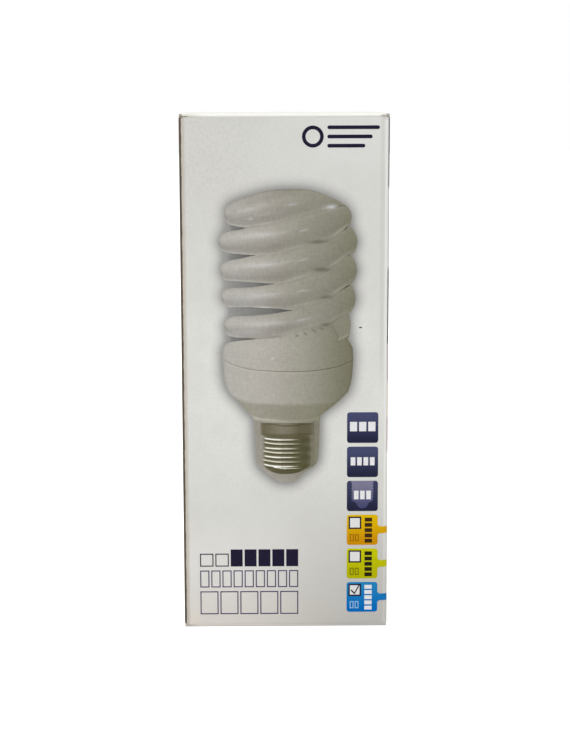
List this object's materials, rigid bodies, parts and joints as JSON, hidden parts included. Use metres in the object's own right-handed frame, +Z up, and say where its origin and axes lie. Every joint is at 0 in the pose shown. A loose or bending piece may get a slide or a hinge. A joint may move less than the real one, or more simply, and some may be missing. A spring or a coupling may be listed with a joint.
{
  "type": "retail carton for a spiral energy saving bulb",
  "caption": "Tall square folding carton with tuck lids at both ends and a printed front, holding a spiral fluorescent lamp with a screw cap.",
  "frame": {"origin": "centre of the carton's base on the surface it stands on", "axes": "+Z up along the carton's height, the printed front panel faces -Y, +X to the viewer's right"},
  "size_m": [0.058, 0.058, 0.1455],
  "materials": {
    "carton_board": "satin",
    "coated_glass": "gloss",
    "lamp_plastic": "gloss",
    "cap_metal": "polished",
    "cap_glaze": "gloss",
    "contact_metal": "satin",
    "laminate": "matte",
    "capacitor_can": "satin",
    "ferrite": "matte",
    "copper_wire": "gloss",
    "epoxy_black": "matte",
    "film_red": "gloss",
    "ink_navy": "satin",
    "ink_orange": "satin",
    "ink_lime": "satin",
    "ink_blue": "satin",
    "ink_white": "satin",
    "ink_violet": "satin",
    "ink_coil": "satin",
    "ink_shade": "satin",
    "ink_housing": "satin",
    "ink_cap": "satin",
    "ink_thread": "satin"
  },
  "bodies": {
    "carton": {"carton_sleeve": "carton_board", "glass_spiral": "coated_glass", "tube_cover": "lamp_plastic", "ballast_housing": "lamp_plastic", "cap_shell": "cap_metal", "cap_insulator": "cap_glaze", "cap_contact": "contact_metal", "circuit_board": "laminate", "reservoir_capacitor": "capacitor_can", "choke_core": "ferrite", "choke_winding": "copper_wire", "driver_toroid": "ferrite", "power_transistors": "epoxy_black", "film_capacitors": "film_red", "rectifier_diodes": "epoxy_black", "print_power_badges": "ink_navy", "print_orange_badge": "ink_orange", "print_lime_badge": "ink_lime", "print_blue_badge": "ink_blue", "print_tick_boxes": "ink_white", "print_name_bars": "ink_violet", "print_lamp_coil": "ink_coil", "print_lamp_shade": "ink_shade", "print_lamp_housing": "ink_housing", "print_lamp_cap": "ink_cap", "print_lamp_thread": "ink_thread"},
    "upper_lid": {"top_lid": "carton_board"},
    "lower_lid": {"bottom_lid": "carton_board"}
  },
  "joints": [
    {"name": "top_lid_fold", "type": "hinge", "parent": "carton", "child": "upper_lid", "pos_m": [0, -0.0285, 0.145], "axis": [1, 0, 0], "range_deg": [0, 150]},
    {"name": "bottom_lid_fold", "type": "hinge", "parent": "carton", "child": "lower_lid", "pos_m": [0, -0.0285, 0.0005], "axis": [-1, 0, 0], "range_deg": [0, 150]}
  ]
}
